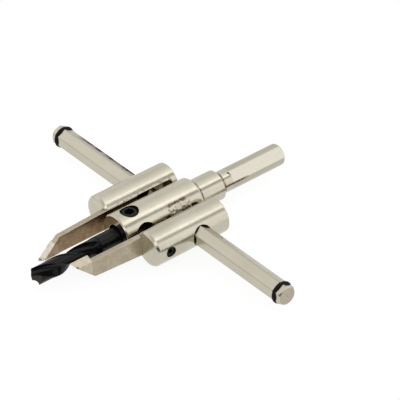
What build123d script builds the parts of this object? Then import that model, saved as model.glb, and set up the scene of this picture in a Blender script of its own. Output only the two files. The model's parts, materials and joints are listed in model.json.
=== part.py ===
from build123d import *
import os
from math import asin, cos, degrees, pi, radians, sin, tan

# Adjustable circle cutter: an arbor with a round shank, a hexagon bar fixed across it, and two
# blade holders that slide along the bar. The tool axis is X, with the shank towards +X, the bar
# lies along Y, and the origin is where the two axes cross. All sizes are millimetres.

# Arbor, measured along the tool axis from the bar's axis
body_d = 18.0
body_front = 26.3
body_back = 14.3
collar_d = 13.6
collar_len = 13.1
shank_d = 10.0
neck_len = 5.1
flat_len = 29.0
flat_reach = 4.25
flat_count = 3
first_flat_angle = 138.5
front_chamfer = 0.5
back_edge_r = 1.6
collar_chamfer = 0.8
shank_end_r = 1.5
bore_d = 9.4
bore_rest = 0.6
window_x = -16.9
window_d = 10.9
nick_angle = 132.0
nick_x = 1.9
nick_len = 8.7
nick_depth = 0.45

# Hexagon bar and the rubber rings that stop the holders
bar_af = 8.0
bar_len = 155.0
bar_shift = -1.45
bar_edge_r = 0.35
bar_chamfer = 0.8
centre_mark_r = 0.6
ring_inset = 3.45
ring_cord_d = 2.0
ring_d = 10.0
groove_play = 0.05

# Pilot drill, which a grub screw presses on the floor of its bore
drill_d = 8.0
drill_reach = 43.2
drill_grip = 17.9
point_angle = 118.0
web_t = 1.5
core_r = 0.7
flute_len = 28.8
flute_runout = 5.0
flute_pitch = 45.0
flute_span = 106.0
flute_root_x = 0.6
lip_angle = 138.0
lip_clearance = 12.0
heel_clearance = 28.0
heel_start = 1.3
margin_w = 0.9
margin_step = 0.25
drill_rear_chamfer = 0.5
cut_past = 1.0

# Blade holders
holder_d = 15.6
holder_front = 23.0
holder_back = 14.5
holder_gap = 0.3
bar_hole_d = 9.4
holder_front_r = 1.5
holder_back_r = 1.0
channel_floor = 3.6
channel_end = 11.5
channel_corner_r = 2.0

# Blades and their hard-metal tips
blade_w = 9.4
blade_t = 2.7
blade_back = 6.5
blade_corner_x = -46.9
blade_corner_w = 3.4
blade_edge_chamfer = 0.3
bevel_angle = 43.5
tip_len = 9.0
tip_w = 7.0
tip_proud = 0.8
tip_rise = 1.5

# Screws
grub_d = 8.0
grub_socket_af = 4.0
grub_socket_depth = 2.6
grub_chamfer = 0.5
pilot_screw_x = -18.8
pilot_screw_sunk = 0.7
lock_screw_len = 8.5
lock_screw_shift = 0.9
blade_screw_x = -16.5
blade_screw_d = 3.0
blade_screw_head_d = 4.5
blade_screw_head_h = 2.5
blade_screw_sunk = 1.0
blade_screw_socket_af = 2.0

# Clearances, each the gap on one side
running_fit = 0.03
bar_fit = 0.05
blade_fit = 0.05
seat_gap = 0.02
drill_fit = 0.05
head_fit = 0.1

# The most of its wall that a fillet takes
fillet_share = 0.9

rear_step = (body_d - collar_d) / 2
collar_end = body_back + collar_len
flats_start = collar_end + neck_len
shank_end = flats_start + flat_len
bar_corner_r = (bar_af / 2 - bar_edge_r) / cos(pi / 6) + bar_edge_r
ring_y = bar_len / 2 - ring_inset
ring_centre_r = (ring_d - ring_cord_d) / 2
holder_y = (body_d + holder_d) / 2 + holder_gap
channel_y = holder_y - channel_floor
blade_inner_y = channel_y - blade_t
drill_tip_x = -body_front - drill_reach
drill_rear_x = -body_front + drill_grip
flutes_end = drill_tip_x + flute_len + flute_runout
drill_r = drill_d / 2
bore_r = bore_d / 2
drill_drop = bore_r - drill_r - drill_fit
drill_top = drill_r - drill_drop
clear_r = drill_r - margin_step
past_r = drill_r + cut_past
half_web = web_t / 2
margin_angle = degrees(margin_w / drill_r) - degrees(asin(half_web / drill_r)) - 180
lock_screw_y = holder_y + lock_screw_shift
grub_r = grub_d / 2
tapped_r = grub_r + running_fit


def across(x, turn=0):
    """Plane square to the tool axis at x, with its own x axis turned from Y towards Z."""
    return Plane((x, 0, 0), x_dir=(0, cos(radians(turn)), sin(radians(turn))), z_dir=(1, 0, 0))


def beside(y):
    """Plane parallel to the tool axis at y, facing the right-hand side, -Y."""
    return Plane((0, y, 0), x_dir=(1, 0, 0), z_dir=(0, -1, 0))


def rims(piece, radius, x):
    """Circular edges of one radius on the plane square to the tool axis at x."""
    tolerance = 0.01
    there = piece.edges().filter_by_position(Axis.X, x - tolerance, x + tolerance)
    return [e for e in there.filter_by(GeomType.CIRCLE) if abs(e.radius - radius) < tolerance]


# Arbor body, collar and shank, turned in one piece
with BuildPart() as arbor_body:
    with BuildSketch(Plane.XZ):
        with BuildLine():
            Polyline(
                (-body_front, 0),
                (-body_front, body_d / 2),
                (body_back, body_d / 2),
                (body_back, collar_d / 2),
                (collar_end, collar_d / 2),
                (collar_end, shank_d / 2),
                (shank_end, shank_d / 2),
                (shank_end, 0),
                close=True,
            )
        make_face()
    revolve(axis=Axis.X)
    chamfer(rims(arbor_body, body_d / 2, -body_front), front_chamfer)
    fillet(rims(arbor_body, body_d / 2, body_back), min(back_edge_r, fillet_share * rear_step))
    chamfer(rims(arbor_body, collar_d / 2, collar_end), collar_chamfer)
    fillet(rims(arbor_body, shank_d / 2, shank_end), shank_end_r)

    # three chuck flats along the shank
    with BuildSketch(across(flats_start)):
        with PolarLocations(flat_reach + shank_d / 4, flat_count, start_angle=first_flat_angle):
            Rectangle(shank_d / 2, shank_d)
    extrude(amount=flat_len, mode=Mode.SUBTRACT)

    # blind bore for the pilot drill, with the cone that its own drill leaves
    with BuildSketch(Plane.XZ):
        with BuildLine():
            bore_end = drill_rear_x + bore_rest
            Polyline(
                (-body_front, 0),
                (-body_front, bore_r),
                (bore_end, bore_r),
                (bore_end + bore_r / tan(radians(point_angle / 2)), 0),
                close=True,
            )
        make_face()
    revolve(axis=Axis.X, mode=Mode.SUBTRACT)

    # cross hole for the bar
    with BuildSketch(Plane.XZ):
        Circle(bar_corner_r + bar_fit)
    extrude(amount=body_d, both=True, mode=Mode.SUBTRACT)

    # tapped hole for the pilot screw
    with BuildSketch(Plane.XY):
        with Locations((pilot_screw_x, 0)):
            Circle(tapped_r)
    extrude(amount=body_d, mode=Mode.SUBTRACT)

    # window on the right-hand side, open into the drill's bore
    with BuildSketch(Plane.XZ):
        with Locations((window_x, 0)):
            Circle(window_d / 2)
    extrude(amount=body_d, mode=Mode.SUBTRACT)

    # chisel nicks beside the cross hole, which stake the bar in place
    with BuildSketch(across(nick_x - nick_len / 2)):
        with PolarLocations(body_d / 2, 2, start_angle=nick_angle):
            Rectangle(nick_depth * 2**0.5, nick_depth * 2**0.5, rotation=45)
    extrude(amount=nick_len, mode=Mode.SUBTRACT)

arbor_body.part.label = "arbor_body"


# Hexagon bar with turned ends, a groove for each ring and a centre mark in each end
with BuildPart() as hex_bar:
    with BuildSketch(Plane.XZ):
        RegularPolygon(bar_af / 2, 6, major_radius=False, rotation=30)
        fillet(vertices(), bar_edge_r)
    extrude(amount=bar_len / 2, both=True)
    with BuildSketch(Plane.YZ):
        with BuildLine():
            Polyline(
                (-bar_len / 2, 0),
                (-bar_len / 2, bar_corner_r - bar_chamfer),
                (-bar_len / 2 + bar_chamfer, bar_corner_r),
                (bar_len / 2 - bar_chamfer, bar_corner_r),
                (bar_len / 2, bar_corner_r - bar_chamfer),
                (bar_len / 2, 0),
                close=True,
            )
        make_face()
    revolve(axis=Axis.Y, mode=Mode.INTERSECT)
    with BuildSketch(Plane.YZ):
        groove_r = ring_d / 2 - ring_cord_d - seat_gap
        with Locations((ring_y, groove_r)):
            Rectangle(ring_cord_d + 2 * groove_play, bar_af, align=(Align.CENTER, Align.MIN))
        with BuildLine():
            Polyline(
                (bar_len / 2, 0), (bar_len / 2, centre_mark_r), (bar_len / 2 - centre_mark_r, 0), close=True
            )
        make_face()
        mirror(about=Plane.YZ)
    revolve(axis=Axis.Y, mode=Mode.SUBTRACT)

# it sits off centre, towards the right-hand side
on_bar = Location((0, bar_shift, 0))
hex_bar.part.move(on_bar)
hex_bar.part.label = "hex_bar"


# Rubber ring seated in the right-hand groove
with BuildPart() as stop_ring:
    with BuildSketch(Plane.YZ):
        with Locations((-ring_y, ring_centre_r)):
            Circle(ring_cord_d / 2)
    revolve(axis=Axis.Y)


# Space of one helical drill flute, with the shallow clearance behind the next land's margin
with BuildPart() as flute:
    with BuildSketch(across(drill_tip_x, lip_angle)):
        with BuildLine():
            lip = Line(((past_r**2 - half_web**2) ** 0.5, -half_web), (flute_root_x, -half_web))
            heel = Vector(clear_r, 0).rotate(Axis.Z, -flute_span)
            TangentArc(lip @ 1, heel, tangent=lip % 1)
            behind = CenterArc((0, 0), clear_r, -flute_span, margin_angle + flute_span)
            Line(behind @ 1, (behind @ 1) * (past_r / clear_r))
            CenterArc((0, 0), past_r, margin_angle, -degrees(asin(half_web / past_r)) - margin_angle)
        make_face()
    sweep(
        path=Edge.make_line((drill_tip_x, 0, 0), (flutes_end, 0, 0)),
        binormal=Helix(flute_pitch, flutes_end - drill_tip_x, drill_r, (drill_tip_x, 0, 0), (1, 0, 0)),
    )

    # the floor rises along an arc at the run-out, where the cutter lifted away
    with BuildSketch(Plane.XZ):
        with BuildLine():
            rise = past_r - core_r
            lift_r = (flute_runout**2 + rise**2) / (2 * rise)
            lift = RadiusArc((flutes_end, past_r), (flutes_end - flute_runout, core_r), lift_r)
            Polyline(lift @ 1, (drill_tip_x, core_r), (drill_tip_x, 0), (flutes_end, 0), lift @ 0)
        make_face()
    revolve(axis=Axis.X, mode=Mode.SUBTRACT)


def facet(side, x, clearance, start):
    """Plane of one point facet, behind the lip on one side, with its normal into the drill."""
    lip_slope = 1 / tan(radians(point_angle / 2))
    fall = tan(radians(clearance))
    turned = across(x, lip_angle + side)
    origin = turned.from_local_coords((0, start, 0))
    normal = turned.from_local_coords((-lip_slope, -fall, 1)) - turned.origin
    return Plane(origin, z_dir=normal)


# Pilot drill with two helical flutes, and a point ground in a lip and a heel facet on each side
with BuildPart() as pilot_drill:
    with BuildSketch(Plane.XZ):
        with Locations((drill_tip_x, 0)):
            Rectangle(drill_rear_x - drill_tip_x, drill_r, align=(Align.MIN, Align.MIN))
    revolve(axis=Axis.X)
    chamfer(rims(pilot_drill, drill_r, drill_rear_x), drill_rear_chamfer)
    for side in (0, 180):
        add(flute.part.rotate(Axis.X, side), mode=Mode.SUBTRACT)
    heel_x = drill_tip_x + (heel_start + half_web) * tan(radians(lip_clearance))
    for side in (0, 180):
        split(bisect_by=facet(side, drill_tip_x, lip_clearance, -half_web), keep=Keep.TOP)
        split(bisect_by=facet(side, heel_x, heel_clearance, heel_start), keep=Keep.TOP)

# it lies on the floor of its bore
pilot_drill.part.move(Location((0, 0, -drill_drop)))
pilot_drill.part.label = "pilot_drill"


def socket(screw_end, width, depth):
    """Hexagon key socket sunk from the end plane of a screw."""
    with BuildSketch(screw_end) as hexagon:
        RegularPolygon(width / 2, 6, major_radius=False)
    extrude(hexagon.sketch, amount=-depth, mode=Mode.SUBTRACT)


# Grub screw that clamps the pilot drill, standing on its shank
with BuildPart() as pilot_screw:
    with BuildSketch(Plane.XY.offset(drill_top + seat_gap)):
        with Locations((pilot_screw_x, 0)):
            Circle(grub_r)
    extrude(amount=body_d / 2 - pilot_screw_sunk - drill_top - seat_gap)
    chamfer(pilot_screw.edges().filter_by(GeomType.CIRCLE), grub_chamfer)
    socket(Plane((pilot_screw_x, 0, body_d / 2 - pilot_screw_sunk)), grub_socket_af, grub_socket_depth)

pilot_screw.part.label = "pilot_screw"


# Right-hand blade holder, with a channel for the blade milled in the side that faces the body
with BuildPart() as holder:
    with BuildSketch(across(-holder_front)):
        with Locations((-holder_y, 0)):
            Circle(holder_d / 2)
    extrude(amount=holder_front + holder_back)
    fillet(rims(holder, holder_d / 2, -holder_front), holder_front_r)
    fillet(rims(holder, holder_d / 2, holder_back), holder_back_r)

    with BuildSketch(beside(-channel_y)):
        with Locations((channel_end, 0)):
            Rectangle(
                2 * (channel_end + holder_front),
                blade_w + 2 * blade_fit,
                align=(Align.MAX, Align.CENTER),
            )
        fillet(vertices().group_by(Axis.X)[-1], channel_corner_r)
    extrude(amount=-holder_d, mode=Mode.SUBTRACT)

    # round hole along the bar
    with BuildSketch(Plane.XZ):
        Circle(bar_hole_d / 2)
    extrude(amount=holder_y + holder_d, mode=Mode.SUBTRACT)

    # tapped hole from the rear for the screw that locks the holder on the bar
    with BuildSketch(across(0)):
        with Locations((-lock_screw_y, 0)):
            Circle(tapped_r)
    extrude(amount=holder_back, mode=Mode.SUBTRACT)

    # counterbored hole for the blade's screw
    with Locations(Plane((blade_screw_x, -holder_y - holder_d / 2, 0), z_dir=(0, -1, 0))):
        CounterBoreHole(
            blade_screw_d / 2 + head_fit,
            blade_screw_head_d / 2 + head_fit,
            blade_screw_sunk + blade_screw_head_h,
            holder_d,
        )


# Grub screw that presses on the bar's rear flat
with BuildPart() as lock_screw:
    with BuildSketch(across(bar_af / 2 + seat_gap)):
        with Locations((-lock_screw_y, 0)):
            Circle(grub_r)
    extrude(amount=lock_screw_len)
    chamfer(lock_screw.edges().filter_by(GeomType.CIRCLE), grub_chamfer)
    lock_screw_end = bar_af / 2 + seat_gap + lock_screw_len
    end_plane = Plane((lock_screw_end, -lock_screw_y, 0), x_dir=(0, 0, 1), z_dir=(1, 0, 0))
    socket(end_plane, grub_socket_af, grub_socket_depth)


def bevel_x(z):
    """Where the bevelled front end of a blade lies at height z."""
    return blade_corner_x - (z + blade_corner_w) / tan(radians(bevel_angle))


# Right-hand blade, lying on the channel's floor, with a corner cut out for its tip
edge_z = blade_w / 2
tip_top = edge_z + tip_rise
tip_low = tip_top - tip_w
tip_rear_x = bevel_x(tip_top) + tip_len
with BuildPart() as blade:
    with BuildSketch(beside(-channel_y)):
        with BuildLine():
            Polyline(
                (-blade_back, -edge_z),
                (-holder_front, -edge_z),
                (blade_corner_x, -blade_corner_w),
                (bevel_x(tip_low), tip_low),
                (tip_rear_x, tip_low),
                (tip_rear_x, edge_z),
                (-blade_back, edge_z),
                close=True,
            )
        make_face()
    extrude(amount=-blade_t)
    for broad_side in blade.faces().sort_by(SortBy.AREA)[-2:]:
        along_top, lower_front, lower_rear = broad_side.edges().sort_by(SortBy.LENGTH, reverse=True)[:3]
        chamfer((along_top, lower_front, lower_rear), blade_edge_chamfer)
    with Locations(Plane((blade_screw_x, -channel_y, 0), z_dir=(0, -1, 0))):
        Hole(blade_screw_d / 2 + running_fit)


def hard_tip(point_y, other_y):
    """Hard-metal tip with its rake face sloping from the cutting point down to the blade's edge."""
    with BuildPart() as tip:
        with BuildSketch(beside(point_y)):
            with BuildLine():
                Polyline(
                    (tip_rear_x, tip_low),
                    (bevel_x(tip_low), tip_low),
                    (bevel_x(tip_top), tip_top),
                    (tip_rear_x, tip_top),
                    close=True,
                )
            make_face()
        extrude(amount=point_y - other_y)
        with BuildSketch(across(tip_rear_x)):
            Polygon((point_y, tip_top), (other_y, tip_top), (other_y, edge_z), align=None)
        extrude(amount=bevel_x(tip_top) - tip_rear_x, mode=Mode.SUBTRACT)
    return tip


# The right-hand blade cuts at its inner side and the left-hand one at its outer side
inner_point_tip = hard_tip(-blade_inner_y + tip_proud, -channel_y)
outer_point_tip = hard_tip(-channel_y - tip_proud, -blade_inner_y)


# Socket screw that holds the blade in its channel
with BuildPart() as blade_screw:
    head_y = holder_y + holder_d / 2 - blade_screw_sunk
    with BuildSketch(beside(-head_y)):
        with Locations((blade_screw_x, 0)):
            Circle(blade_screw_head_d / 2)
    extrude(amount=-blade_screw_head_h)
    with BuildSketch(beside(-head_y + blade_screw_head_h)):
        with Locations((blade_screw_x, 0)):
            Circle(blade_screw_d / 2)
    extrude(amount=-(head_y - blade_screw_head_h - blade_inner_y - head_fit))
    socket(Plane((blade_screw_x, -head_y, 0), z_dir=(0, -1, 0)), blade_screw_socket_af, blade_screw_head_h / 2)


# The left-hand side is the right-hand one turned half a turn about the tool axis
sides = {
    "right": (0, inner_point_tip),
    "left": (180, outer_point_tip),
}
paired = {
    "holder": holder,
    "lock_screw": lock_screw,
    "blade": blade,
    "blade_screw": blade_screw,
}

os.makedirs("parts", exist_ok=True)
for piece in (arbor_body, hex_bar, pilot_drill, pilot_screw):
    export_step(piece.part, f"parts/{piece.part.label}.step")
for side_name, (turn, tip) in sides.items():
    placed = {name: piece.part.rotate(Axis.X, turn) for name, piece in {**paired, "blade_tip": tip}.items()}
    placed["stop_ring"] = stop_ring.part.rotate(Axis.X, turn).move(on_bar)
    for piece_name, part in placed.items():
        part.label = f"{side_name}_{piece_name}"
        export_step(part, f"parts/{part.label}.step")
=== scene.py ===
import json
from math import pi, radians

import bmesh
import bpy
from mathutils import Matrix, Vector

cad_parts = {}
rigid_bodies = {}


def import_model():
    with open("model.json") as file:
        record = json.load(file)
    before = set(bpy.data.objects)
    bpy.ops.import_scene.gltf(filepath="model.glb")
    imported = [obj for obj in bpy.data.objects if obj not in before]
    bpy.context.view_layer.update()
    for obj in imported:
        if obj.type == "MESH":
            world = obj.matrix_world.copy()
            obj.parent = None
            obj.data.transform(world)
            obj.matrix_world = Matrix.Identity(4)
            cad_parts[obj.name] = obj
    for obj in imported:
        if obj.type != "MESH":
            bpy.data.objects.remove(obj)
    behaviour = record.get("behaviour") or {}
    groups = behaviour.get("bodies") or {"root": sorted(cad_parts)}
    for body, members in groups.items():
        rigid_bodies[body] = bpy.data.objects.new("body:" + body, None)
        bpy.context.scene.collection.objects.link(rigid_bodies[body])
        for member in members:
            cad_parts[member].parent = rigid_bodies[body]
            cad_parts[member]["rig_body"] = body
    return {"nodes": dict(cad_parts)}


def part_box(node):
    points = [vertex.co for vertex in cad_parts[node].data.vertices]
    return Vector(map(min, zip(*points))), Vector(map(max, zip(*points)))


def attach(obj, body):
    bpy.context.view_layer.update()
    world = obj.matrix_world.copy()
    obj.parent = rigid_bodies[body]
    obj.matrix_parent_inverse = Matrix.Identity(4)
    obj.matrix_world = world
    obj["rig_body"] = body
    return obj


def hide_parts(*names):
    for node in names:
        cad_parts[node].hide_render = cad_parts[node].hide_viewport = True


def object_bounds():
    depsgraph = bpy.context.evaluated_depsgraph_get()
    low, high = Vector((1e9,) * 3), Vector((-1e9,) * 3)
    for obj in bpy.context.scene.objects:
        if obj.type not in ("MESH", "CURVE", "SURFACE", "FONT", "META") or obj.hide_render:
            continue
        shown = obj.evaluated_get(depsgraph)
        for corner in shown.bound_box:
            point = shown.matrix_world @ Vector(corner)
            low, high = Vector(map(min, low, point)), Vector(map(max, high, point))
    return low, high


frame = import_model()
cad_low, cad_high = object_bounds()

# All lengths and places are metres in the part's frame: X along the tool axis towards the shank,
# Y along the bar towards the left holder, Z up.

# Camera, as the photograph was taken: it looks down on the tool from its front right, and leans
# a little about the tool axis. The frame's centre lies right of the origin and above it.
camera_azimuth = radians(-38.54)
camera_elevation = radians(39.15)
camera_lean = radians(4.23)
camera_distance = 1.1122
camera_clip = 100
frame_right = 0.0142
frame_up = 0.0041
lens_mm = 239.0

# Sheet of white paper that the tool lies on. Where it is seen it mostly glows, so that it stays
# white and the tool's shadow on it is faint.
paper_margin = 0.055
paper_glow = 1.05
paper_glow_share = 0.85
paper_roughness = 0.9

# Brightness of the studio round the tool axis, in degrees from straight up towards the right-hand
# side. Towards the shank: a soft ceiling, a long softbox, a dark gap, a side softbox, a dark floor.
shank_side = (
    (-112, 0.3),
    (-98, 0.75),
    (-80, 0.95),
    (-40, 0.95),
    (-18, 1.15),
    (2, 1.4),
    (14, 1.95),
    (21, 1.75),
    (27, 0.62),
    (37, 0.55),
    (45, 1.2),
    (53, 1.4),
    (70, 1.27),
    (102, 1.3),
    (109, 0.5),
    (116, 0.4),
)
# Towards the drill: a duller ceiling, a narrow bright strip, a black gap and a dull floor
drill_side = (
    (-112, 0.5),
    (-80, 1.0),
    (-45, 1.15),
    (-26, 0.85),
    (-8, 0.75),
    (14, 0.8),
    (25, 1.3),
    (33, 1.95),
    (42, 1.5),
    (54, 0.8),
    (63, 0.12),
    (80, 0.02),
    (91, 0.4),
    (105, 0.5),
    (114, 0.35),
)
studio_peak = 2.0
# Directions count as the drill's side up to one share along the tool axis, and as the shank's
# side from another
drill_side_to = 0.1
shank_side_from = 0.38

# Edges broken by tumbling before the plating, and how the parts' own sharp edges are told apart
edge_break = 0.00012
blade_edge_break = 0.00007
sharp_angle = radians(28)
flat_angle = radians(0.2)
weld_distance = 1e-6

# Grub screws' thread: the foot and the crest of its ridge are shares of the pitch, and the barrel
# is cut down to the thread's root where it lies further out than the socket
grub_radius = 0.004
socket_reach = 0.0025
thread_pitch = 0.00125
thread_depth = 0.00055
ridge_foot = 0.8
ridge_crest = 0.12
thread_bare_ends = 0.001

# Brazing metal in the seams of the tips
bead_radius = 0.00013
bead_wander = 0.00012
bead_sunk = 0.00004
seam_front = 0.0014

# Rubber stop rings, and the flash line of their mould
ring_radius = 0.004
cord_radius = 0.001
flash_radius = 0.00005

# Metal hammered over on the body where the bar is staked
staking_x = 0.0017
staking_angle = radians(66)
staking_length = 0.0118
staking_width = 0.0058
staking_thickness = 0.0004
staking_rise = 0.0004
staking_fade = 0.0012
staking_edge_sunk = 0.00006

# Places on the pieces that the finishes keep to
body_radius = 0.009
collar_root_x = 0.0144
collar_radius = 0.0068
shank_root_x = 0.0275
shank_radius = 0.005
flats_x = 0.0325
flats_sunk = 0.00007
drill_point_x = -0.066
bar_middle_y = -0.00145
bar_half_length = 0.0775
bar_rear_corner = (0.004, 0, 0.0023)
bar_scale_y = 0.043
holder_y = 0.0171
channel_floor_y = 0.0135
channel_half_height = 0.00475
channel_end_x = 0.0115
channel_brim_z = 0.0049

# Where stains, painted shade and painted reflections end: each is full to the first distance, and gone
# from the second one on
past_a_face = (0.00002, 0.00006)
root_width = (0.0009, 0.0013)
root_height = (0.0003, 0.0006)
brim_span_y = (0.0115, 0.0119)
brim_width = (0.0002, 0.0009)
bar_corner_width = (0.0003, 0.0022)
bar_shade_y = (0.0136, 0.014)
inner_side_depth = (0.00005, 0.0001)

# Where stains, painted shade and painted reflections change from one strength to another
collar_reflection_grows_x = (0.0155, 0.0262)
shank_reflection_fades_x = (0.037, 0.0405)
bar_corner_radii = (0.0044, 0.00455)
bar_rear_x = (0.0002, 0.0028)
bar_scale_span = (0.013, 0.024)
blade_rim_width = (0.0007, 0.0017)

# Share of a line's reach in which it is full, and the levels that most of a noise lies between
line_core = 0.4
noise_span = (0.3, 0.7)

# Dark marks along lines, each from one place to another, and how far it reaches to either side
staking_streak = ((-0.0028, -0.0061, 0.0066), (0.0056, -0.0061, 0.0066), 0.0011)
neck_scratch = ((0.032, -0.0018, 0.0046), (0.0328, -0.0027, 0.0039), 0.00065)
# The collar's and the shank's lines are painted dark reflections
collar_dark_reflection = ((0.0155, -0.0067, 0.0012), (0.0268, -0.0067, 0.0012), 0.0008)
shank_dark_reflection = ((0.0275, -0.00493, 0.0007), (0.0405, -0.00493, 0.0007), 0.0006)
staked_middle = ((-0.001, -0.0079, 0.0043), (0.0048, -0.0076, 0.0048), 0.0034)
burnt_spots = {
    "left": ((-0.0554, 0.0108, -0.0047), (-0.0559, 0.0134, -0.0052), 0.001),
    "right": ((-0.0561, -0.0127, 0.0051), (-0.0552, -0.0134, 0.0047), 0.001),
}

# Roughness of the plate where it is glossiest, and how strong the painted brown shade is on each side
body_roughness = 0.1
holder_roughness = {"left": 0.1, "right": 0.14}
hammered_roughness = 0.32
side_shade = {"left": 1.0, "right": 0.25}

# Colours of what the pieces are made of, each between two that its clouds or grains mix
nickel_colors = ((0.55, 0.522, 0.43), (0.5, 0.462, 0.368))
bar_colors = ((0.55, 0.515, 0.425), (0.51, 0.47, 0.375))
blade_colors = ((0.49, 0.445, 0.35), (0.42, 0.37, 0.28))
# The left tip's lighter pair is painted light: a lit copy of the same hard metal as the right tip
tip_colors = {
    "left": ((0.72, 0.69, 0.6), (0.62, 0.58, 0.48)),
    "right": ((0.52, 0.47, 0.375), (0.44, 0.39, 0.295)),
}
braze_colors = ((0.42, 0.31, 0.17), (0.1, 0.07, 0.045))
rubber_colors = ((0.004, 0.0035, 0.003), (0.009, 0.008, 0.007))
paper_colors = ((0.92, 0.92, 0.915), (0.94, 0.94, 0.935))

# Colours of the worn, ground and stained places on them, and of the painted shade and painted dark
# reflections
speck_brown = (0.3, 0.24, 0.165)
shank_grey = (0.43, 0.4, 0.325)
flat_silver = (0.62, 0.59, 0.495)
root_shade_black = (0.08, 0.055, 0.03)
streak_brown = (0.17, 0.105, 0.065)
scratch_black = (0.04, 0.03, 0.02)
collar_reflection_brown = (0.2, 0.15, 0.1)
shank_reflection_black = (0.08, 0.052, 0.03)
hammered_silver = (0.56, 0.515, 0.41)
pit_brown = (0.2, 0.14, 0.09)
channel_shade_brown = (0.15, 0.095, 0.05)
brim_reflection_brown = (0.12, 0.075, 0.04)
corner_brown = (0.24, 0.19, 0.12)
dulled_grey = (0.17, 0.15, 0.125)
scale_black = (0.04, 0.035, 0.03)
bar_shade_brown = (0.09, 0.06, 0.035)
faced_grey = (0.36, 0.32, 0.25)
inner_shade_brown = (0.2, 0.13, 0.07)
mottled_tan = (0.36, 0.24, 0.13)
rim_black = (0.05, 0.03, 0.02)
blade_tarnish = (0.39, 0.31, 0.19)
tip_tarnish = (0.45, 0.37, 0.24)
burnt_black = (0.06, 0.05, 0.035)
facet_brown = (0.035, 0.026, 0.022)


class Graph:
    """A node tree, with short calls that add nodes and join them."""

    def __init__(self, tree):
        self.tree = tree

    def add(self, kind, inputs=(), **settings):
        """A node with its settings, and with a value or another node's output at each input."""
        node = self.tree.nodes.new(kind)
        for name, value in settings.items():
            setattr(node, name, value)
        for key, value in dict(inputs).items():
            if isinstance(value, bpy.types.NodeSocket):
                self.tree.links.new(value, node.inputs[key])
            else:
                node.inputs[key].default_value = value
        return node

    def join(self, output, node, key):
        self.tree.links.new(output, node.inputs[key])

    def math(self, operation, *values):
        return self.add("ShaderNodeMath", dict(enumerate(values)), operation=operation).outputs[0]

    def size(self, value):
        """A number without its sign."""
        return self.math("ABSOLUTE", value)

    def apart(self, value, other):
        """How far two numbers lie apart."""
        return self.size(self.math("SUBTRACT", value, other))

    def product(self, whole, *factors):
        for factor in factors:
            whole = self.math("MULTIPLY", whole, factor)
        return whole

    def between(self, factor, low, high, floor=0.0, ceiling=1.0):
        """A number from floor to ceiling as the factor goes from low to high."""
        inputs = {0: factor, 1: low, 2: high, 3: floor, 4: ceiling}
        return self.add("ShaderNodeMapRange", inputs).outputs[0]

    def within(self, value, near, far):
        """One up to a first limit, and nothing from a second one on."""
        return self.between(value, near, far, 1, 0)

    def spread(self, noise, floor=0.0, ceiling=1.0):
        """A number from floor to ceiling over the span where most of a noise lies."""
        return self.between(noise, *noise_span, floor, ceiling)

    def noise(self, place, scale, detail=3.0, roughness=0.5):
        inputs = {"Vector": place, "Scale": scale, "Detail": detail, "Roughness": roughness}
        return self.add("ShaderNodeTexNoise", inputs).outputs[0]

    def point(self, x=0.0, y=0.0, z=0.0):
        return self.add("ShaderNodeCombineXYZ", {0: x, 1: y, 2: z}).outputs[0]

    def parts(self, vector):
        """The X, Y and Z of a vector."""
        return self.add("ShaderNodeSeparateXYZ", {0: vector}).outputs

    def vector(self, operation, *values):
        return self.add("ShaderNodeVectorMath", dict(enumerate(values)), operation=operation).outputs[0]

    def length(self, vector):
        return self.add("ShaderNodeVectorMath", {0: vector}, operation="LENGTH").outputs["Value"]

    def dot(self, first, second):
        inputs = {0: first, 1: second}
        return self.add("ShaderNodeVectorMath", inputs, operation="DOT_PRODUCT").outputs["Value"]

    def scaled(self, vector, times):
        inputs = {0: vector, "Scale": times}
        return self.add("ShaderNodeVectorMath", inputs, operation="SCALE").outputs[0]

    def blend(self, factor, first, second):
        """A colour between two by a factor."""
        inputs = {0: factor, 6: first, 7: second}
        return self.add("ShaderNodeMix", inputs, data_type="RGBA").outputs[2]


def ray_is_seen(graph):
    """One for rays from the camera, and for those that gloss or glass sends on."""
    rays = graph.add("ShaderNodeLightPath").outputs
    seen = graph.math("MAXIMUM", rays["Is Camera Ray"], rays["Is Glossy Ray"])
    return graph.math("MAXIMUM", seen, rays["Is Transmission Ray"])


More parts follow.
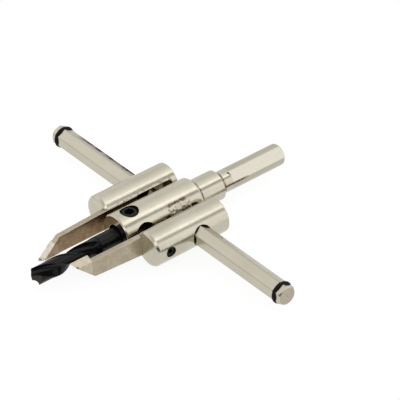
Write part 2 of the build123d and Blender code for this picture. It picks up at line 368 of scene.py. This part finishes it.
class Finish(Graph):
    """A material whose patterns lie on object coordinates."""

    def __init__(self, name, **sockets):
        self.material = bpy.data.materials.new(name)
        self.material.use_nodes = True
        super().__init__(self.material.node_tree)
        self.shader = self.tree.nodes["Principled BSDF"]
        for key, value in sockets.items():
            self.shader.inputs[key.replace("_", " ")].default_value = value
        self.place = self.add("ShaderNodeTexCoord").outputs["Object"]
        self.at = self.parts(self.place)
        self.tone = None

    def grain(self, scale, stretch=(1, 1, 1), detail=3.0, roughness=0.5):
        """Noise of a number of grains per metre, fewer along an axis where the stretch is under one."""
        return self.noise(self.vector("MULTIPLY", self.place, stretch), scale, detail, roughness)

    def patches(self, scale, low, high, floor=0.0, ceiling=1.0, **grain):
        """Grain cut off between two of its levels, which leaves patches of the ceiling on the floor."""
        return self.between(self.grain(scale, **grain), low, high, floor, ceiling)

    def off_axis(self, centre_y):
        """Distance from an axis parallel to X."""
        out = self.vector("ADD", self.place, (0, -centre_y, 0))
        return self.length(self.vector("MULTIPLY", out, (0, 1, 1)))

    def lathe(self, centre_y, per_metre):
        """Noise in fine rings about an axis parallel to X, on round sides and on faced ends."""
        spot = self.math("ADD", self.at["X"], self.off_axis(centre_y))
        inputs = {"W": spot, "Scale": per_metre, "Detail": 4.0, "Roughness": 0.6}
        return self.add("ShaderNodeTexNoise", inputs, noise_dimensions="1D").outputs[0]

    def up_to(self, value, limit):
        """One up to a face of the piece, and nothing just past it."""
        return self.within(value, *(limit + margin for margin in past_a_face))

    def near_line(self, start, end, reach):
        """One on the straight line between two points, down to nothing at a distance from it."""
        start = Vector(start)
        run = Vector(end) - start
        out = self.vector("SUBTRACT", self.place, start)
        along = self.dot(out, run / run.length_squared)
        share = self.add("ShaderNodeClamp", {0: along}).outputs[0]
        aside = self.vector("SUBTRACT", out, self.scaled(run, share))
        return self.within(self.length(aside), reach * line_core, reach)

    def color(self, factor, first, second):
        """The base colour, between two by a factor."""
        self.tone = self.blend(factor, (*first, 1), (*second, 1))
        self.join(self.tone, self.shader, "Base Color")

    def stain(self, factor, color):
        """Another colour over the base colour, by a factor."""
        self.tone = self.blend(factor, self.tone, (*color, 1))
        self.join(self.tone, self.shader, "Base Color")

    def roughness(self, output):
        self.join(output, self.shader, "Roughness")

    def bump(self, *layers):
        """Relief from pairs of a pattern and its height in metres."""
        normal = None
        for height, distance in layers:
            inputs = {"Height": height, "Distance": distance, "Strength": 1.0}
            if normal:
                inputs["Normal"] = normal
            normal = self.add("ShaderNodeBump", inputs).outputs["Normal"]
        self.join(normal, self.shader, "Normal")


def nickel(name, centre_y, roughness):
    """Nickel plate over turned steel, with faint lathe rings, clouded gloss and small dark specks."""
    plate = Finish(name, Metallic=1.0)
    plate.color(plate.patches(90, 0.35, 0.7), *nickel_colors)
    plate.stain(plate.patches(2600, 0.66, 0.76, detail=2), speck_brown)
    plate.roughness(plate.spread(plate.grain(500), roughness, roughness + 0.1))
    unevenness = plate.grain(800, detail=5, roughness=0.6)
    plate.bump((plate.lathe(centre_y, 9000), 0.0000012), (unevenness, 0.00003))
    return plate


def arbor_nickel():
    """The arbor's plate: brighter on the ground chuck flats, dark along its marks, with painted shade in
    the roots and painted dark reflections along the collar and the shank.
    """
    plate = nickel("arbor_nickel", 0, body_roughness)
    along = plate.at["X"]
    off_axis = plate.off_axis(0)
    on_shank = plate.between(along, flats_x - 0.0001, flats_x + 0.0001)
    plate.stain(plate.product(on_shank, 0.7), shank_grey)
    on_flats = plate.product(on_shank, plate.up_to(off_axis, shank_radius - flats_sunk))
    plate.stain(plate.product(on_flats, 0.85), flat_silver)

    grime_and_shade = plate.grain(900)
    in_roots = plate.between(grime_and_shade, 0.35, 0.55, 0.45, 0.9)
    # Painted shade, darker in the roots beside the collar and the shank
    for root_x, radius in ((collar_root_x, collar_radius), (shank_root_x, shank_radius)):
        beside = plate.within(plate.apart(along, root_x), *root_width)
        low_down = plate.within(off_axis, *(radius + height for height in root_height))
        plate.stain(plate.product(beside, low_down, in_roots), root_shade_black)

    patchy = plate.between(grime_and_shade, 0.34, 0.56)
    plate.stain(plate.product(plate.near_line(*staking_streak), patchy), streak_brown)
    plate.stain(plate.near_line(*neck_scratch), scratch_black)
    # Painted dark reflections along the collar's side and along the shank
    growing = plate.between(along, *collar_reflection_grows_x, 0.45, 0.95)
    on_collar = plate.product(growing, plate.between(grime_and_shade, 0.3, 0.5, 0.5, 1))
    plate.stain(plate.product(plate.near_line(*collar_dark_reflection), on_collar), collar_reflection_brown)
    fading = plate.between(along, *shank_reflection_fades_x, 1, 0.4)
    along_flat = plate.product(fading, plate.between(grime_and_shade, 0.25, 0.5, 0.4, 1))
    plate.stain(plate.product(plate.near_line(*shank_dark_reflection), along_flat), shank_reflection_black)
    return plate.material


def staked_nickel():
    """Plate on the hammered metal, brown in its pits."""
    plate = nickel("staked_nickel", 0, hammered_roughness)
    middle = plate.near_line(*staked_middle)
    plate.stain(middle, hammered_silver)
    plate.stain(plate.product(middle, plate.patches(1100, 0.52, 0.7)), pit_brown)
    return plate.material


def holder_nickel(side, centre_y):
    """A holder's plate, with painted brown shade in the channel and a ragged painted dark reflection
    along the channel's brims.
    """
    grime_and_shade = side_shade[side]
    plate = nickel(f"{side}_nickel", centre_y, holder_roughness[side])
    aside = plate.size(plate.at["Y"])
    height = plate.size(plate.at["Z"])
    in_length = plate.up_to(plate.at["X"], channel_end_x)
    in_height = plate.up_to(height, channel_half_height)
    channel = plate.product(plate.up_to(aside, channel_floor_y), in_height, in_length)
    # Painted brown shade in the channel
    plate.stain(plate.product(channel, plate.patches(400, 0.2, 0.6, 0.6 * grime_and_shade, grime_and_shade)), channel_shade_brown)
    # Ragged painted dark reflection along the channel's brims
    by_mouth = plate.within(aside, *brim_span_y)
    by_wall = plate.within(plate.apart(height, channel_brim_z), *brim_width)
    ragged = plate.patches(900, 0.5, 0.58, stretch=(0.6, 1, 1), detail=4, roughness=0.65)
    plate.stain(plate.product(by_mouth, by_wall, in_length, ragged, 0.8 * grime_and_shade), brim_reflection_brown)
    return plate.material


def bar_steel():
    """The bar's plated drawn steel: fine lines along it, brown corners and dark scale on its rear."""
    steel = Finish("bar_steel", Metallic=1.0)
    across = (1, 0, 1)
    steel.color(steel.spread(steel.grain(60)), *bar_colors)
    from_axis = steel.length(steel.vector("MULTIPLY", steel.place, across))
    corners = steel.between(from_axis, *bar_corner_radii)
    steel.stain(steel.product(corners, 0.28), corner_brown)

    on_rear = steel.between(steel.at["X"], *bar_rear_x)
    more_left = steel.between(steel.apart(steel.at["Y"], bar_scale_y), *bar_scale_span, 1, 0.15)
    cloudy = steel.patches(400, 0.4, 0.62, 0.25, 1, stretch=(1, 0.35, 1), detail=4, roughness=0.6)
    dulled = steel.product(on_rear, cloudy, more_left)
    steel.stain(dulled, dulled_grey)
    from_corner = steel.vector("MULTIPLY", steel.vector("SUBTRACT", steel.place, bar_rear_corner), across)
    beside = steel.within(steel.length(from_corner), *bar_corner_width)
    chipped = steel.patches(1400, 0.42, 0.6, 0.25, 1, stretch=(1, 0.3, 1), detail=4, roughness=0.6)
    scale = steel.product(more_left, beside, chipped)
    steel.stain(scale, scale_black)
    # Scale stays dark where it is seen at a low angle, so it has no edge reflection either
    bare = steel.math("SUBTRACT", 1.0, steel.math("MAXIMUM", scale, dulled))
    steel.join(bare, steel.shader, "Specular Tint")

    # Painted brown shade on the bar where it lies in the body and the holders' channels
    near_body = steel.within(steel.size(steel.at["Y"]), *bar_shade_y)
    steel.stain(steel.product(near_body, 0.85), bar_shade_brown)
    from_middle = steel.apart(steel.at["Y"], bar_middle_y)
    faced = steel.between(from_middle, bar_half_length - 0.0001, bar_half_length - 0.00005)
    steel.stain(steel.product(faced, 0.6), faced_grey)
    lines = steel.grain(900, (1, 0.012, 1), detail=5)
    steel.roughness(steel.spread(lines, 0.16, 0.28))
    steel.bump((lines, 0.000006), (steel.grain(1200), 0.000003))
    return steel.material


def shade_inside(metal, grime_and_shade, full_y, end_y, edge_z):
    """Paint brown shade on the side of a blade or a tip that faces its pair, darkest along one long edge.
    """
    # Painted shade: brown and mottled on the inner side, darkest along the top edge
    inner = metal.between(metal.at["Y"], full_y, end_y, grime_and_shade, 0)
    metal.stain(metal.product(inner, metal.patches(260, 0.3, 0.65, 0.72, 1)), inner_shade_brown)
    mottled = metal.patches(900, 0.46, 0.6, 0, 0.7, detail=5, roughness=0.7)
    metal.stain(metal.product(inner, mottled), mottled_tan)
    rim = metal.between(metal.apart(metal.at["Z"], edge_z), *blade_rim_width, 0.85, 0)
    metal.stain(metal.product(inner, rim), rim_black)


def ground_steel(name, shading):
    """A blade's plated steel, ground along its length, with painted brown shade on the side that faces
    its pair.
    """
    steel = Finish(name, Metallic=1.0)
    cloud = steel.grain(110)
    steel.color(steel.spread(cloud), *blade_colors)
    steel.stain(steel.patches(800, 0.45, 0.6, 0, 0.7, detail=5, roughness=0.7), blade_tarnish)
    shade_inside(steel, *shading)
    steel.roughness(steel.spread(cloud, 0.28, 0.42))
    lines = steel.grain(2200, (0.03, 1, 1), detail=5)
    steel.bump((lines, 0.000008), (steel.grain(600), 0.00002))
    return steel.material


def hard_metal(side, shading):
    """A brazed tip, ground fine and plated with its blade, with the same painted brown shade on the inner
    side.
    """
    metal = Finish(f"{side}_hard_metal", Metallic=1.0)
    cloud = metal.grain(500)
    # The left tip's lighter colours are painted light on its lit top
    metal.color(metal.between(cloud, 0.35, 0.7), *tip_colors[side])
    metal.stain(metal.patches(800, 0.45, 0.6, 0, 0.4, detail=5, roughness=0.7), tip_tarnish)
    shade_inside(metal, *shading)
    burnt = metal.product(metal.near_line(*burnt_spots[side]), metal.patches(1600, 0.42, 0.56))
    metal.stain(burnt, burnt_black)
    metal.roughness(metal.spread(cloud, 0.2, 0.3))
    metal.bump((metal.grain(2600, (1, 1, 0.05)), 0.000002), (metal.grain(900), 0.000003))
    return metal.material


def braze():
    """Brazing metal drawn into the seams of the tips, darkened by its flux."""
    metal = Finish("braze", Metallic=1.0, Roughness=0.35)
    metal.color(metal.patches(1800, 0.35, 0.65), *braze_colors)
    metal.bump((metal.grain(2500), 0.00001))
    return metal.material


def black_oxide(name, light, roughness, gloss):
    """Blackened steel: near black, with a soft oily gloss and faint brown wear."""
    oxide = Finish(name, Metallic=0.0, Specular_IOR_Level=gloss)
    cloud = oxide.grain(260)
    black = (light, light, light * 0.92)
    worn = (light * 2.0, light * 1.6, light * 1.35)
    oxide.color(oxide.between(cloud, 0.45, 0.75), black, worn)
    oxide.roughness(oxide.spread(cloud, roughness - 0.07, roughness + 0.09))
    oxide.bump((oxide.grain(3000), 0.000004))
    return oxide


def drill_oxide():
    """The drill's black finish, thin and brown on the ground facets of its point."""
    oxide = black_oxide("drill_oxide", light=0.0035, roughness=0.24, gloss=0.2)
    facing = oxide.parts(oxide.add("ShaderNodeNewGeometry").outputs["True Normal"])
    facets = oxide.within(facing["X"], -0.7, -0.65)
    at_point = oxide.within(oxide.at["X"], drill_point_x - 0.0002, drill_point_x)
    oxide.stain(oxide.product(facets, at_point), facet_brown)
    return oxide.material


def black_rubber():
    """The stop rings' matt rubber."""
    rubber = Finish("black_rubber", Metallic=0.0, Specular_IOR_Level=0.13)
    speckle = rubber.grain(2500)
    rubber.color(speckle, *rubber_colors)
    rubber.roughness(rubber.spread(speckle, 0.45, 0.65))
    rubber.bump((speckle, 0.000008))
    return rubber.material


def plain_mesh(name, source):
    """A mesh of plain faces joined at their corners, from one of loose triangles."""
    joined = bmesh.new()
    joined.from_mesh(source)
    bmesh.ops.remove_doubles(joined, verts=joined.verts, dist=weld_distance)
    bmesh.ops.dissolve_limit(joined, angle_limit=flat_angle, verts=joined.verts, edges=joined.edges)
    corners = [vert.co.copy() for vert in joined.verts]
    joined.verts.index_update()
    faces = [[vert.index for vert in face.verts] for face in joined.faces]
    joined.free()
    mesh = bpy.data.meshes.new(name)
    mesh.from_pydata(corners, [], faces)
    return mesh


def shown(name, mesh, materials=()):
    """An object at the origin that shows a mesh."""
    piece = bpy.data.objects.new(name, mesh)
    bpy.context.scene.collection.objects.link(piece)
    for material in materials:
        mesh.materials.append(material)
    return piece


def made_plain(piece):
    """The piece with its modifiers worked into its mesh."""
    graph = bpy.context.evaluated_depsgraph_get()
    mesh = bpy.data.meshes.new_from_object(piece.evaluated_get(graph))
    piece.modifiers.clear()
    piece.data = mesh
    return piece


def joined_pieces(name, *pieces):
    """One object that holds the meshes of several."""
    whole = bmesh.new()
    for piece in pieces:
        whole.from_mesh(piece.data)
    mesh = bpy.data.meshes.new(name)
    whole.to_mesh(mesh)
    whole.free()
    made = shown(name, mesh, pieces[0].data.materials)
    for piece in pieces:
        bpy.data.objects.remove(piece)
    return made


def carried(piece, node):
    """Let a piece ride with a CAD node."""
    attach(piece, frame["nodes"][node]["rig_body"])


def stands_for(piece, node):
    """Show a piece in place of a CAD node."""
    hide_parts(node)
    carried(piece, node)


def dressed(node, width, material):
    """Show a CAD piece's own form with its sharp edges broken in place of that piece."""
    name = f"{node}_finished"
    source = frame["nodes"][node]
    piece = shown(name, plain_mesh(name, source.data), [material])
    piece.data.shade_smooth()
    bevel = piece.modifiers.new("edges", "BEVEL")
    bevel.width = width
    bevel.segments = 1
    bevel.limit_method = "ANGLE"
    bevel.angle_limit = sharp_angle
    bevel.use_clamp_overlap = False
    normals = piece.modifiers.new("normals", "DATA_TRANSFER")
    normals.object = source
    normals.use_loop_data = True
    normals.data_types_loops = {"CUSTOM_NORMAL"}
    normals.loop_mapping = "POLYINTERP_NEAREST"
    stands_for(made_plain(piece), node)


class Maker(Graph):
    """A geometry tree with named inputs, which ends in one plain mesh of one material."""

    def __init__(self, name, **kinds):
        """Each input is given by its name and the kind of its socket."""
        super().__init__(bpy.data.node_groups.new(name, "GeometryNodeTree"))
        sockets = self.tree.interface
        sockets.new_socket("Geometry", in_out="OUTPUT", socket_type="NodeSocketGeometry")
        for key, kind in kinds.items():
            label = key.replace("_", " ")
            sockets.new_socket(label, in_out="INPUT", socket_type=f"NodeSocket{kind}")
        sockets.new_socket("material", in_out="INPUT", socket_type="NodeSocketMaterial")
        self.given = self.add("NodeGroupInput").outputs

    def circle(self, points, radius):
        inputs = {"Resolution": points, "Radius": radius}
        return self.add("GeometryNodeCurvePrimitiveCircle", inputs).outputs[0]

    def swept(self, path, section, **more):
        """The skin of a section that is drawn along a path."""
        inputs = {"Curve": path, "Profile Curve": section}
        for key, value in more.items():
            inputs[key.replace("_", " ")] = value
        return self.add("GeometryNodeCurveToMesh", inputs).outputs[0]

    def moved(self, geometry, place, turned):
        inputs = {"Geometry": geometry, "Translation": place, "Rotation": turned}
        return self.add("GeometryNodeTransform", inputs).outputs[0]

    def end(self, geometry):
        """The tree's last nodes, which make its geometry real, smooth and of the given material."""
        real = self.add("GeometryNodeRealizeInstances", {0: geometry}).outputs[0]
        smooth = self.add("GeometryNodeSetShadeSmooth", {"Geometry": real}).outputs[0]
        finished = {"Geometry": smooth, "Material": self.given["material"]}
        result = self.add("GeometryNodeSetMaterial", finished).outputs[0]
        self.join(result, self.add("NodeGroupOutput"), 0)
        return self


def made_by(maker, name, material, **inputs):
    """An object with the plain mesh that a tree makes from these inputs."""
    piece = shown(name, bpy.data.meshes.new(name))
    modifier = piece.modifiers.new(maker.tree.name, "NODES")
    modifier.node_group = maker.tree
    sockets = [item for item in maker.tree.interface.items_tree if item.in_out == "INPUT"]
    identifiers = {socket.name: socket.identifier for socket in sockets}
    modifier[identifiers["material"]] = material
    for key, value in inputs.items():
        modifier[identifiers[key.replace("_", " ")]] = value
    return made_plain(piece)


def thread_maker():
    """A thread's ridge, wound up an axis and set in place on its screw."""
    thread = Maker("thread", radius="Float", depth="Float", pitch="Float", turns="Float",
                   place="Vector", turned="Vector")
    given = thread.given
    winding = {
        "Resolution": 48,
        "Rotations": given["turns"],
        "Start Radius": given["radius"],
        "End Radius": given["radius"],
        "Height": thread.product(given["pitch"], given["turns"]),
    }
    helix = thread.add("GeometryNodeCurveSpiral", winding).outputs[0]
    upright = thread.add("GeometryNodeSetCurveNormal", {0: helix}, mode="Z_UP").outputs[0]
    shape = {
        "Bottom Width": thread.product(given["pitch"], ridge_foot),
        "Top Width": thread.product(given["pitch"], ridge_crest),
        "Offset": 0,
        "Height": given["depth"],
    }
    ridge = thread.add("GeometryNodeCurvePrimitiveQuadrilateral", shape, mode="TRAPEZOID").outputs[0]
    facing_out = thread.moved(ridge, (0, 0, 0), (0, 0, pi / 2))
    wound = thread.swept(upright, facing_out, Fill_Caps=True)
    return thread.end(thread.moved(wound, given["place"], given["turned"]))


def bead_maker():
    """A bead of brazing metal along a straight seam, uneven in its course and thickness."""
    bead = Maker("bead", start="Vector", end="Vector", radius="Float", wander="Float", seed="Int")
    given = bead.given
    ends = {"Start": given["start"], "End": given["end"]}
    seam = bead.add("GeometryNodeCurvePrimitiveLine", ends).outputs[0]
    course = bead.add("GeometryNodeResampleCurve", {"Curve": seam, "Count": 40}).outputs[0]
    place = bead.add("GeometryNodeInputPosition").outputs[0]
    spot = bead.vector("ADD", place, bead.point(x=given["seed"]))
    sway = {"Vector": spot, "Scale": 900.0, "Detail": 2.0}
    swing = bead.add("ShaderNodeTexNoise", sway).outputs["Color"]
    offset = bead.scaled(bead.vector("SUBTRACT", swing, (0.5, 0.5, 0.5)), given["wander"])
    strayed = bead.add("GeometryNodeSetPosition", {"Geometry": course, "Offset": offset}).outputs[0]
    swell = bead.spread(bead.noise(spot, 1500.0, 2.0), 0.35, 1.3)
    return bead.end(bead.swept(strayed, bead.circle(10, given["radius"]), Scale=swell, Fill_Caps=True))


def cord_ring_maker():
    """A rubber ring with the fine flash line of its mould round it, about an axis along Y."""
    ring = Maker("cord_ring", ring_radius="Float", cord_radius="Float", flash_radius="Float",
                 middle="Float")
    given = ring.given
    cord = ring.swept(ring.circle(96, given["ring radius"]), ring.circle(28, given["cord radius"]))
    rim_radius = ring.math("ADD", given["ring radius"], given["cord radius"])
    flash = ring.swept(ring.circle(96, rim_radius), ring.circle(6, given["flash radius"]))
    both = ring.add("GeometryNodeJoinGeometry", {0: cord})
    ring.join(flash, both, 0)
    return ring.end(ring.moved(both.outputs[0], ring.point(y=given["middle"]), (pi / 2, 0, 0)))


def peening_maker():
    """Metal hammered over on the body's round side: a raised skin of dents and burrs that fades out."""
    peened = Maker("peening", body_radius="Float", middle_x="Float", middle_angle="Float",
                   length="Float", width="Float", thickness="Float", rise="Float", fade="Float",
                   edge_sunk="Float", seed="Int")
    given = peened.given
    block = {
        "Size": peened.point(given["length"], given["width"], given["thickness"]),
        "Vertices X": 110,
        "Vertices Y": 60,
        "Vertices Z": 2,
    }
    slab = peened.add("GeometryNodeMeshCube", block).outputs[0]
    place = peened.add("GeometryNodeInputPosition").outputs[0]
    local = peened.parts(place)
    flat = peened.vector("MULTIPLY", place, (1, 1, 0))
    spot = peened.vector("ADD", flat, peened.point(z=given["seed"]))

    # How far in from the slab's ragged outline, and so how much of the hammering shows
    from_ends = peened.math("SUBTRACT", peened.product(given["length"], 0.5), peened.size(local["X"]))
    from_sides = peened.math("SUBTRACT", peened.product(given["width"], 0.5), peened.size(local["Y"]))
    ragged = peened.spread(peened.noise(spot, 700.0, 2.0), -0.0006, 0.0003)
    inward = peened.math("ADD", peened.math("MINIMUM", from_ends, from_sides), ragged)
    shows = peened.between(inward, 0.0, given["fade"])

    # Dents with ridges between them, and coarser swells under both
    cells = {"Vector": spot, "Scale": 620.0, "Smoothness": 0.6}
    dents = peened.add("ShaderNodeTexVoronoi", cells, feature="SMOOTH_F1").outputs["Distance"]
    ridges = peened.between(dents, 0.1, 0.7, 0.0, 0.45)
    swells = peened.spread(peened.noise(spot, 520.0, 4.0, 0.6), 0.0, 0.8)
    heave = peened.math("ADD", ridges, swells)
    lift = peened.product(heave, given["rise"], shows)
    edge = peened.product(given["edge sunk"], -1.0)
    skin = peened.math("ADD", lift, peened.between(shows, 0.0, 0.3, edge, 0.0))

    # The slab's top becomes the skin, its underside lies in the body, and both bend round the axis
    on_top = peened.math("GREATER_THAN", local["Z"], 0.0)
    underneath = peened.product(peened.math("SUBTRACT", 1.0, on_top), given["thickness"], -1.0)
    depth = peened.math("ADD", peened.product(on_top, skin), underneath)
    radius = peened.math("ADD", given["body radius"], depth)
    turn = peened.math("DIVIDE", local["Y"], given["body radius"])
    angle = peened.math("SUBTRACT", given["middle angle"], turn)
    wrapped = peened.point(
        peened.math("ADD", local["X"], given["middle x"]),
        peened.product(radius, peened.math("SINE", angle), -1.0),
        peened.product(radius, peened.math("COSINE", angle)),
    )
    placed = peened.add("GeometryNodeSetPosition", {"Geometry": slab, "Position": wrapped})
    return peened.end(placed.outputs[0])


def turned_down(node, name, centre, along):
    """A grub screw's barrel, cut down to the root of its thread round its socket."""
    mesh = plain_mesh(name, frame["nodes"][node].data)
    for vert in mesh.vertices:
        out = vert.co - centre
        out -= along * out.dot(along)
        if out.length > socket_reach:
            vert.co -= out.normalized() * thread_depth
    mesh.shade_smooth()
    mesh.set_sharp_from_angle(angle=sharp_angle)
    return mesh


def grub_screw(node, along, thread, material):
    """Show a grub screw with its thread wound round it in place of the plain one."""
    low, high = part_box(node)
    centre = (low + high) / 2
    along = Vector(along)
    reach = (high - low).dot(along)
    turns = (reach - thread_bare_ends) / thread_pitch - ridge_foot
    core_name = f"{node}_core"
    core = shown(core_name, turned_down(node, core_name, centre, along), [material])
    ridge = made_by(
        thread,
        f"{node}_ridge",
        material,
        radius=grub_radius - thread_depth / 2,
        depth=thread_depth,
        pitch=thread_pitch,
        turns=turns,
        place=centre - along * (turns * thread_pitch / 2),
        turned=(0.0, pi / 2, 0.0) if along.x else (0.0, 0.0, 0.0),
    )
    stands_for(joined_pieces(f"{node}_finished", core, ridge), node)


def stop_ring(side, cord_ring, material):
    """Show a rubber ring with its flash line in place of the plain one."""
    node = f"{side}_stop_ring"
    low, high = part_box(node)
    ring = made_by(
        cord_ring,
        f"{node}_finished",
        material,
        ring_radius=ring_radius,
        cord_radius=cord_radius,
        flash_radius=flash_radius,
        middle=(low.y + high.y) / 2,
    )
    stands_for(ring, node)


def staked_metal(peening, material):
    """Add the hammered metal that holds the bar in the body."""
    staked = made_by(
        peening,
        "staked_metal",
        material,
        body_radius=body_radius,
        middle_x=staking_x,
        middle_angle=staking_angle,
        length=staking_length,
        width=staking_width,
        thickness=staking_thickness,
        rise=staking_rise,
        fade=staking_fade,
        edge_sunk=staking_edge_sunk,
        seed=11,
    )
    carried(staked, "arbor_body")


def tip_seams(side, sign):
    """The ends of the seams round a tip, on its blade's inner side and, on the left one, its outer."""
    blade_low, blade_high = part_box(f"{side}_blade")
    tip_low, tip_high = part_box(f"{side}_blade_tip")
    rear_x = tip_high.x
    front_x = rear_x - seam_front
    seam_z, edge_z = (tip_high.z, blade_low.z) if sign > 0 else (tip_low.z, blade_high.z)
    # The blade's higher side along Y is the left one's outer side and the right one's inner side
    seam_sides = [blade_high.y - bead_sunk]
    if side == "left":
        seam_sides.insert(0, blade_low.y + bead_sunk)
    for side_y in seam_sides:
        yield (rear_x, side_y, seam_z), (rear_x, side_y, edge_z)
        yield (rear_x, side_y, seam_z), (front_x, side_y, seam_z)


def brazed(side, sign, bead, material):
    """Add the brazing metal in the seams round a tip."""
    beads = []
    for index, (start, end) in enumerate(tip_seams(side, sign)):
        name = f"{side}_bead_{index}"
        beads.append(made_by(bead, name, material, start=start, end=end, radius=bead_radius,
                             wander=bead_wander, seed=index + 1))
    carried(joined_pieces(f"{side}_braze", *beads), f"{side}_blade_tip")


def inner_shade_levels(side, sign, node):
    """How strong the painted shade is on a piece's side that faces the drill, where that shade is full
    and ends, and the top of its blade."""
    low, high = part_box(node)
    inner_y = low.y if sign > 0 else high.y
    full_y, end_y = (inner_y + sign * depth for depth in inner_side_depth)
    return side_shade[side], full_y, end_y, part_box(f"{side}_blade")[1].z


def paper_sheet():
    """The white sheet under the tool, which takes its soft shadow."""
    low_x, low_y = cad_low.x - paper_margin, cad_low.y - paper_margin
    high_x, high_y = cad_high.x + paper_margin, cad_high.y + paper_margin
    mesh = bpy.data.meshes.new("paper")
    corners = [(low_x, low_y), (high_x, low_y), (high_x, high_y), (low_x, high_y)]
    mesh.from_pydata([(x, y, cad_low.z) for x, y in corners], [], [(0, 1, 2, 3)])
    paper = Finish("paper", Metallic=0.0, Roughness=paper_roughness)
    paper.color(paper.grain(400), *paper_colors)
    glow = paper.add("ShaderNodeEmission", {"Strength": paper_glow})
    share = paper.product(ray_is_seen(paper), paper_glow_share)
    mixed = paper.add("ShaderNodeMixShader", {0: share, 1: paper.shader.outputs[0], 2: glow.outputs[0]})
    paper.join(mixed.outputs[0], paper.tree.nodes["Material Output"], "Surface")
    shown("paper", mesh, [paper.material])


def studio():
    """Soft white studio: plain white to the camera, and soft boxes with dark gaps to all else."""
    world = bpy.data.worlds.new("studio")
    bpy.context.scene.world = world
    world.use_nodes = True
    sky = Graph(world.node_tree)
    toward = sky.parts(sky.add("ShaderNodeTexCoord").outputs["Generated"])
    turn = sky.math("ARCTAN2", sky.product(toward["Y"], -1.0), toward["Z"])
    share = sky.between(turn, -pi, pi)
    rings = []
    for ring in (drill_side, shank_side):
        ramp = sky.add("ShaderNodeValToRGB", {0: share})
        stops = ramp.color_ramp.elements
        while len(stops) < len(ring):
            stops.new(0.5)
        for stop, (angle, light) in zip(stops, ring):
            stop.position = (angle + 180) / 360
            stop.color = (*[light / studio_peak] * 3, 1)
        rings.append(ramp.outputs[0])
    ring_light = sky.blend(sky.between(toward["X"], drill_side_to, shank_side_from), *rings)
    camera_ray = sky.add("ShaderNodeLightPath").outputs["Is Camera Ray"]
    strength = sky.between(camera_ray, 0, 1, studio_peak, 1.0)
    background = world.node_tree.nodes["Background"]
    sky.join(sky.blend(camera_ray, ring_light, (1, 1, 1, 1)), background, "Color")
    sky.join(strength, background, "Strength")


def camera():
    """The photograph's camera."""
    data = bpy.data.cameras.new("camera")
    data.lens = lens_mm
    data.clip_end = camera_clip
    made = bpy.data.objects.new("camera", data)
    bpy.context.scene.collection.objects.link(made)
    lean = Matrix.Rotation(camera_lean, 3, "X")
    turn = Matrix.Rotation(camera_azimuth, 3, "Z")
    tip = Matrix.Rotation(pi / 2 - camera_elevation, 3, "X")
    facing = lean @ turn @ tip
    place = facing @ Vector((frame_right, frame_up, camera_distance))
    made.matrix_world = Matrix.Translation(place) @ facing.to_4x4()
    bpy.context.scene.camera = made


screw_oxide = black_oxide("screw_oxide", light=0.0045, roughness=0.3, gloss=0.16).material
ring_rubber = black_rubber()
braze_metal = braze()
thread = thread_maker()
bead = bead_maker()
cord_ring = cord_ring_maker()

dressed("arbor_body", edge_break, arbor_nickel())
dressed("hex_bar", edge_break, bar_steel())
grub_screw("pilot_screw", (0, 0, 1), thread, screw_oxide)
staked_metal(peening_maker(), staked_nickel())
frame["nodes"]["pilot_drill"].material_slots[0].material = drill_oxide()

for side, sign in (("left", 1), ("right", -1)):
    blade = f"{side}_blade"
    tip = f"{side}_blade_tip"
    dressed(f"{side}_holder", edge_break, holder_nickel(side, sign * holder_y))
    dressed(blade, blade_edge_break, ground_steel(f"{blade}_steel", inner_shade_levels(side, sign, blade)))
    dressed(tip, blade_edge_break, hard_metal(side, inner_shade_levels(side, sign, tip)))
    brazed(side, sign, bead, braze_metal)
    grub_screw(f"{side}_lock_screw", (1, 0, 0), thread, screw_oxide)
    frame["nodes"][f"{side}_blade_screw"].material_slots[0].material = screw_oxide
    stop_ring(side, cord_ring, ring_rubber)

paper_sheet()
studio()
camera()
bpy.context.scene.view_settings.view_transform = "Standard"
